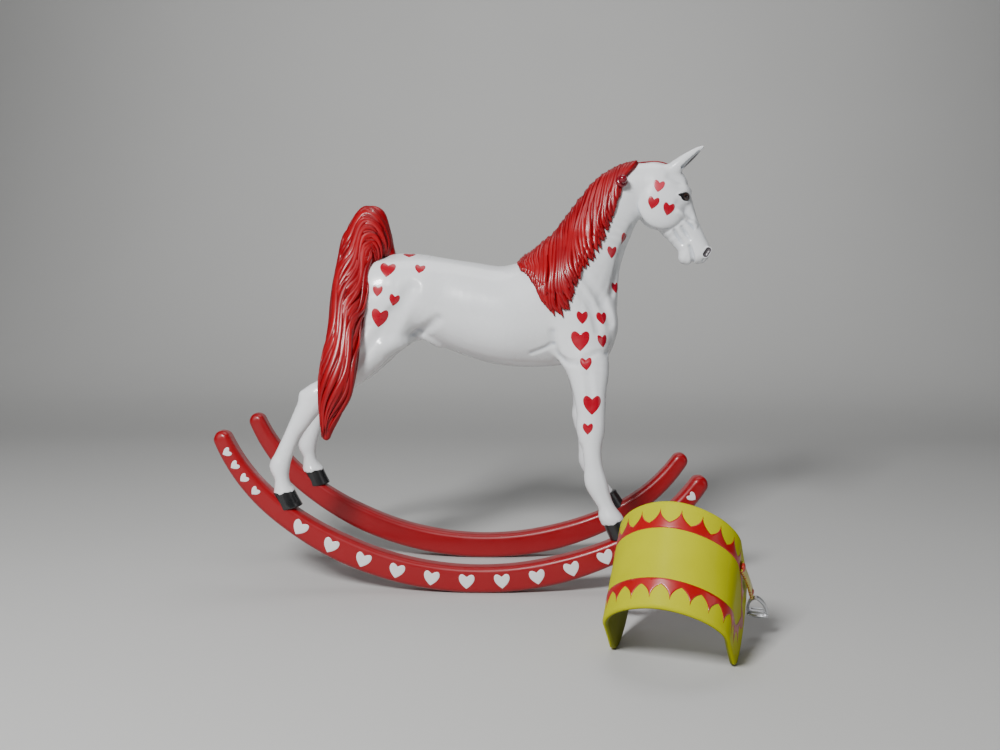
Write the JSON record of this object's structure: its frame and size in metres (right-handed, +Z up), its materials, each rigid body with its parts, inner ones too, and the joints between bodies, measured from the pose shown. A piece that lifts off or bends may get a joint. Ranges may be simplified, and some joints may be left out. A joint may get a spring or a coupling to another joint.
{
  "type": "model rocking horse",
  "caption": "Moulded rocking horse on two curved rockers with heart decoration, with a lift-off arched saddle standing beside it.",
  "frame": {"origin": "on the floor at the rockers' lowest line, midway between the two rockers", "axes": "+X to the nose along the rockers, +Y to the horse's left, +Z up"},
  "size_m": [0.311, 0.2201, 0.2653],
  "materials": {
    "body_white": "glossy white paint with red painted hearts",
    "hoof_black": "satin black",
    "pin_steel": "plain",
    "hair_red": "glossy red over a moulded hair texture",
    "eye_brown": "gloss, dark brown and black",
    "handle_red": "gloss dark red",
    "rocker_red": "satin red paint",
    "heart_white": "satin white paint",
    "saddle_yellow": "satin yellow with red painted petal borders",
    "strap_gold": "satin yellow with red edges",
    "stirrup_silver": "cast silver-coloured metal"
  },
  "bodies": {
    "horse": {"body_right": "body_white", "body_left": "body_white", "leg_front_right": "body_white", "leg_front_left": "body_white", "leg_hind_right": "body_white", "leg_hind_left": "body_white", "hoof_front_right": "hoof_black", "hoof_front_left": "hoof_black", "hoof_hind_right": "hoof_black", "hoof_hind_left": "hoof_black", "hoof_pins": "pin_steel", "mane": "hair_red", "forelock": "hair_red", "tail": "hair_red", "eye_right": "eye_brown", "eye_left": "eye_brown", "handle_right": "handle_red", "handle_left": "handle_red", "rocker_right": "rocker_red", "rocker_left": "rocker_red", "hearts_right": "heart_white", "hearts_left": "heart_white"},
    "saddle": {"saddle_shell": "saddle_yellow", "strap_right": "strap_gold", "strap_left": "strap_gold", "stirrup_right": "stirrup_silver", "stirrup_left": "stirrup_silver"}
  },
  "joints": [
    {"name": "saddle_lift", "type": "slide", "parent": "horse", "child": "saddle", "axis": [0, 0, 1], "range_m": [0, 0.12]}
  ]
}
